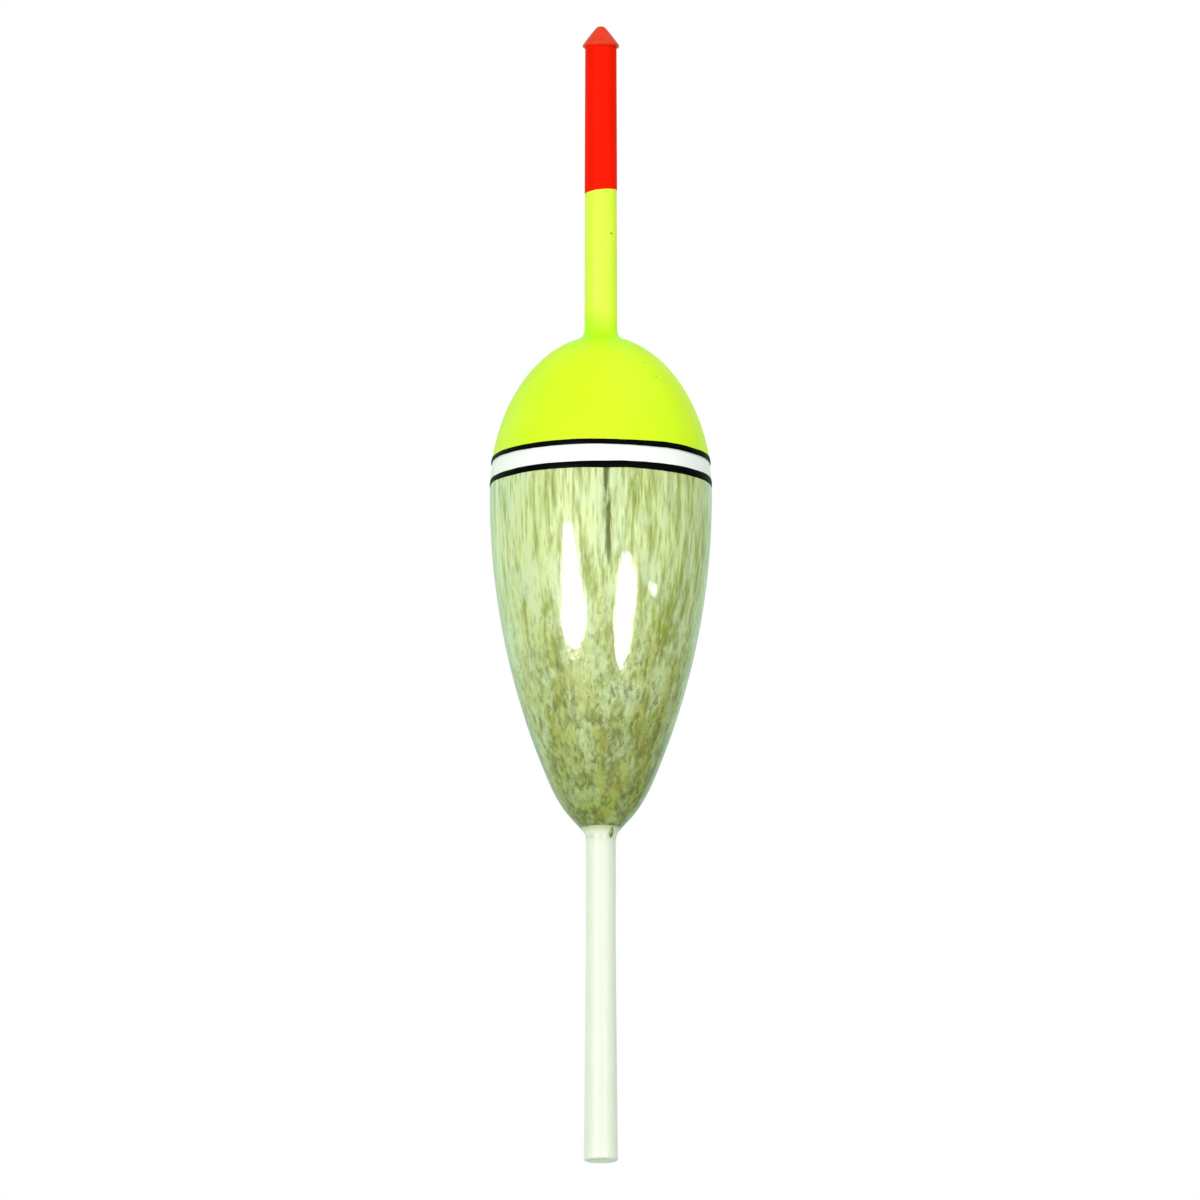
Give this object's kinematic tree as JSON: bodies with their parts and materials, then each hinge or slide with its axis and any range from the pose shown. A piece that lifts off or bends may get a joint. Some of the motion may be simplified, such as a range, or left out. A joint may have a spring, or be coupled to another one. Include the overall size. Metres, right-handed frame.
{
  "type": "slip float",
  "caption": "Slender slip float: a turned wooden body on a hollow line tube, painted dome and stem, black line rings and a push-in conical tip plug with a line hole.",
  "frame": {"origin": "centre of the line tube's open lower end, where the line enters", "axes": "+Z along the float's axis, from the open lower end towards the red tip"},
  "size_m": [0.0254, 0.0254, 0.1318],
  "materials": {
    "tube_plastic": "satin",
    "balsa": "satin",
    "glue": "gloss",
    "lacquer": "gloss",
    "white_paint": "gloss",
    "chartreuse_paint": "gloss",
    "red_paint": "gloss",
    "black_paint": "gloss",
    "plug_plastic": "gloss"
  },
  "bodies": {
    "float": {"line_tube": "tube_plastic", "wood_body": "balsa", "bore_glue": "glue", "lower_glue_fillet": "glue", "upper_glue_fillet": "glue", "clear_lacquer": "lacquer", "white_base_coat": "white_paint", "chartreuse_coat": "chartreuse_paint", "red_tip_coat": "red_paint", "lower_black_line": "black_paint", "upper_black_line": "black_paint"},
    "tip_plug": {"tip_plug": "plug_plastic"}
  },
  "joints": [
    {"name": "tip_plug_pull", "type": "slide", "parent": "float", "child": "tip_plug", "axis": [0, 0, 1], "range_m": [0, 0.01]}
  ]
}
